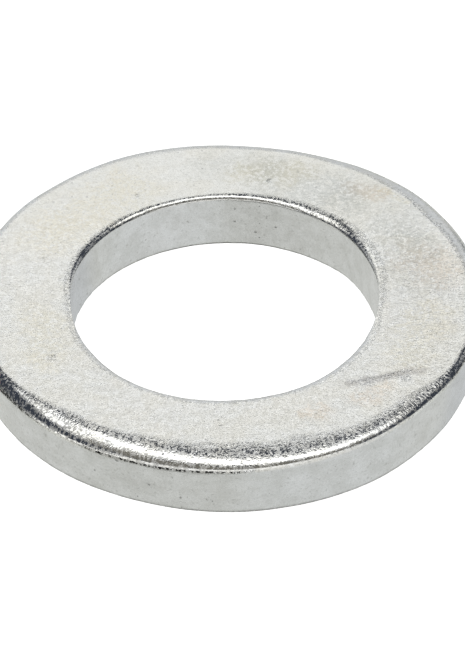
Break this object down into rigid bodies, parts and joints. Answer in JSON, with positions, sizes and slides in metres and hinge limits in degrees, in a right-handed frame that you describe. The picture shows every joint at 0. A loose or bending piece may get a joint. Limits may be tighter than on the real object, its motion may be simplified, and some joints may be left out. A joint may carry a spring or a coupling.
{
  "type": "flat washer",
  "caption": "Thick flat ring washer in zinc-plated steel, blanked from plate, with a wide round bolt hole and softly rolled upper edges.",
  "frame": {"origin": "centre of the lower face, on the axis of the bolt hole", "axes": "+Z along the axis of the bolt hole, towards the face with the rolled edges; X and Y lie in the lower face"},
  "size_m": [0.034, 0.034, 0.004],
  "materials": {
    "zinc_plated_steel": "bright zinc plate over blanked steel: satin and finely grained on the upper face, smoother on the walls, polished on the rolled edges"
  },
  "bodies": {
    "root": {"washer_ring": "zinc_plated_steel"}
  },
  "joints": []
}
